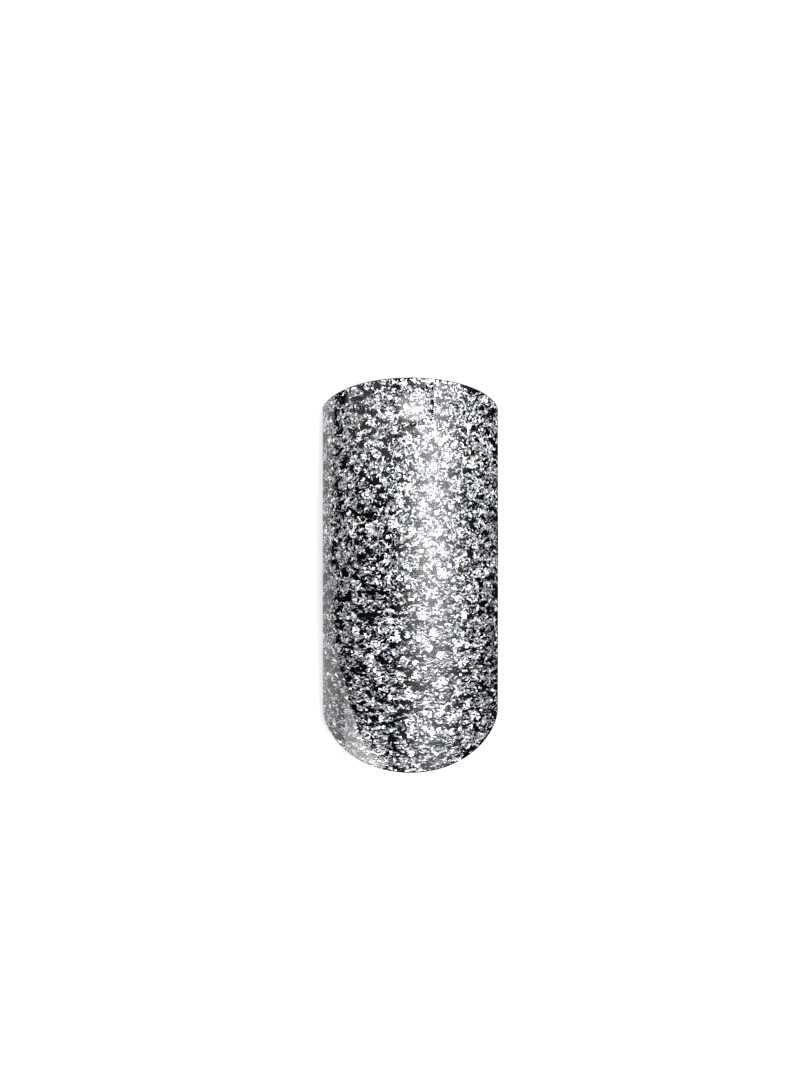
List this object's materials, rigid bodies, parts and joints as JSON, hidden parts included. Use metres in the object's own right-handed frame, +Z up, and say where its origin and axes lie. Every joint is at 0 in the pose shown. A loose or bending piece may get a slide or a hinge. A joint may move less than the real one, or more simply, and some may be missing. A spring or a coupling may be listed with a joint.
{
  "type": "press-on nail",
  "caption": "Press-on fingernail: curved square-round plastic tip under black polish with silver foil flakes and clear gloss, with an adhesive tab in its hollow seat.",
  "frame": {"origin": "middle of the bounding box's base, on the table that the nail's edges stand on", "axes": "+Z up out of the polished face, +Y towards the free edge, X across the nail"},
  "size_m": [0.01, 0.0222, 0.0048],
  "materials": {
    "tip_plastic": "satin, slightly milky moulded plastic",
    "clear_base": "clear, glossy",
    "black_polish": "black, glossy",
    "clear_binder": "clear",
    "silver_foil": "bright silver foil",
    "clear_gloss": "clear, high gloss",
    "tab_adhesive": "clear, tacky",
    "tab_film": "clear film"
  },
  "bodies": {
    "root": {"tip_shell": "tip_plastic", "base_coat": "clear_base", "black_colour_coat": "black_polish", "flake_binder": "clear_binder", "large_foil_flakes": "silver_foil", "medium_foil_flakes": "silver_foil", "small_foil_flakes": "silver_foil", "top_coat": "clear_gloss", "upper_tab_adhesive": "tab_adhesive", "tab_carrier_film": "tab_film", "lower_tab_adhesive": "tab_adhesive"}
  },
  "joints": []
}
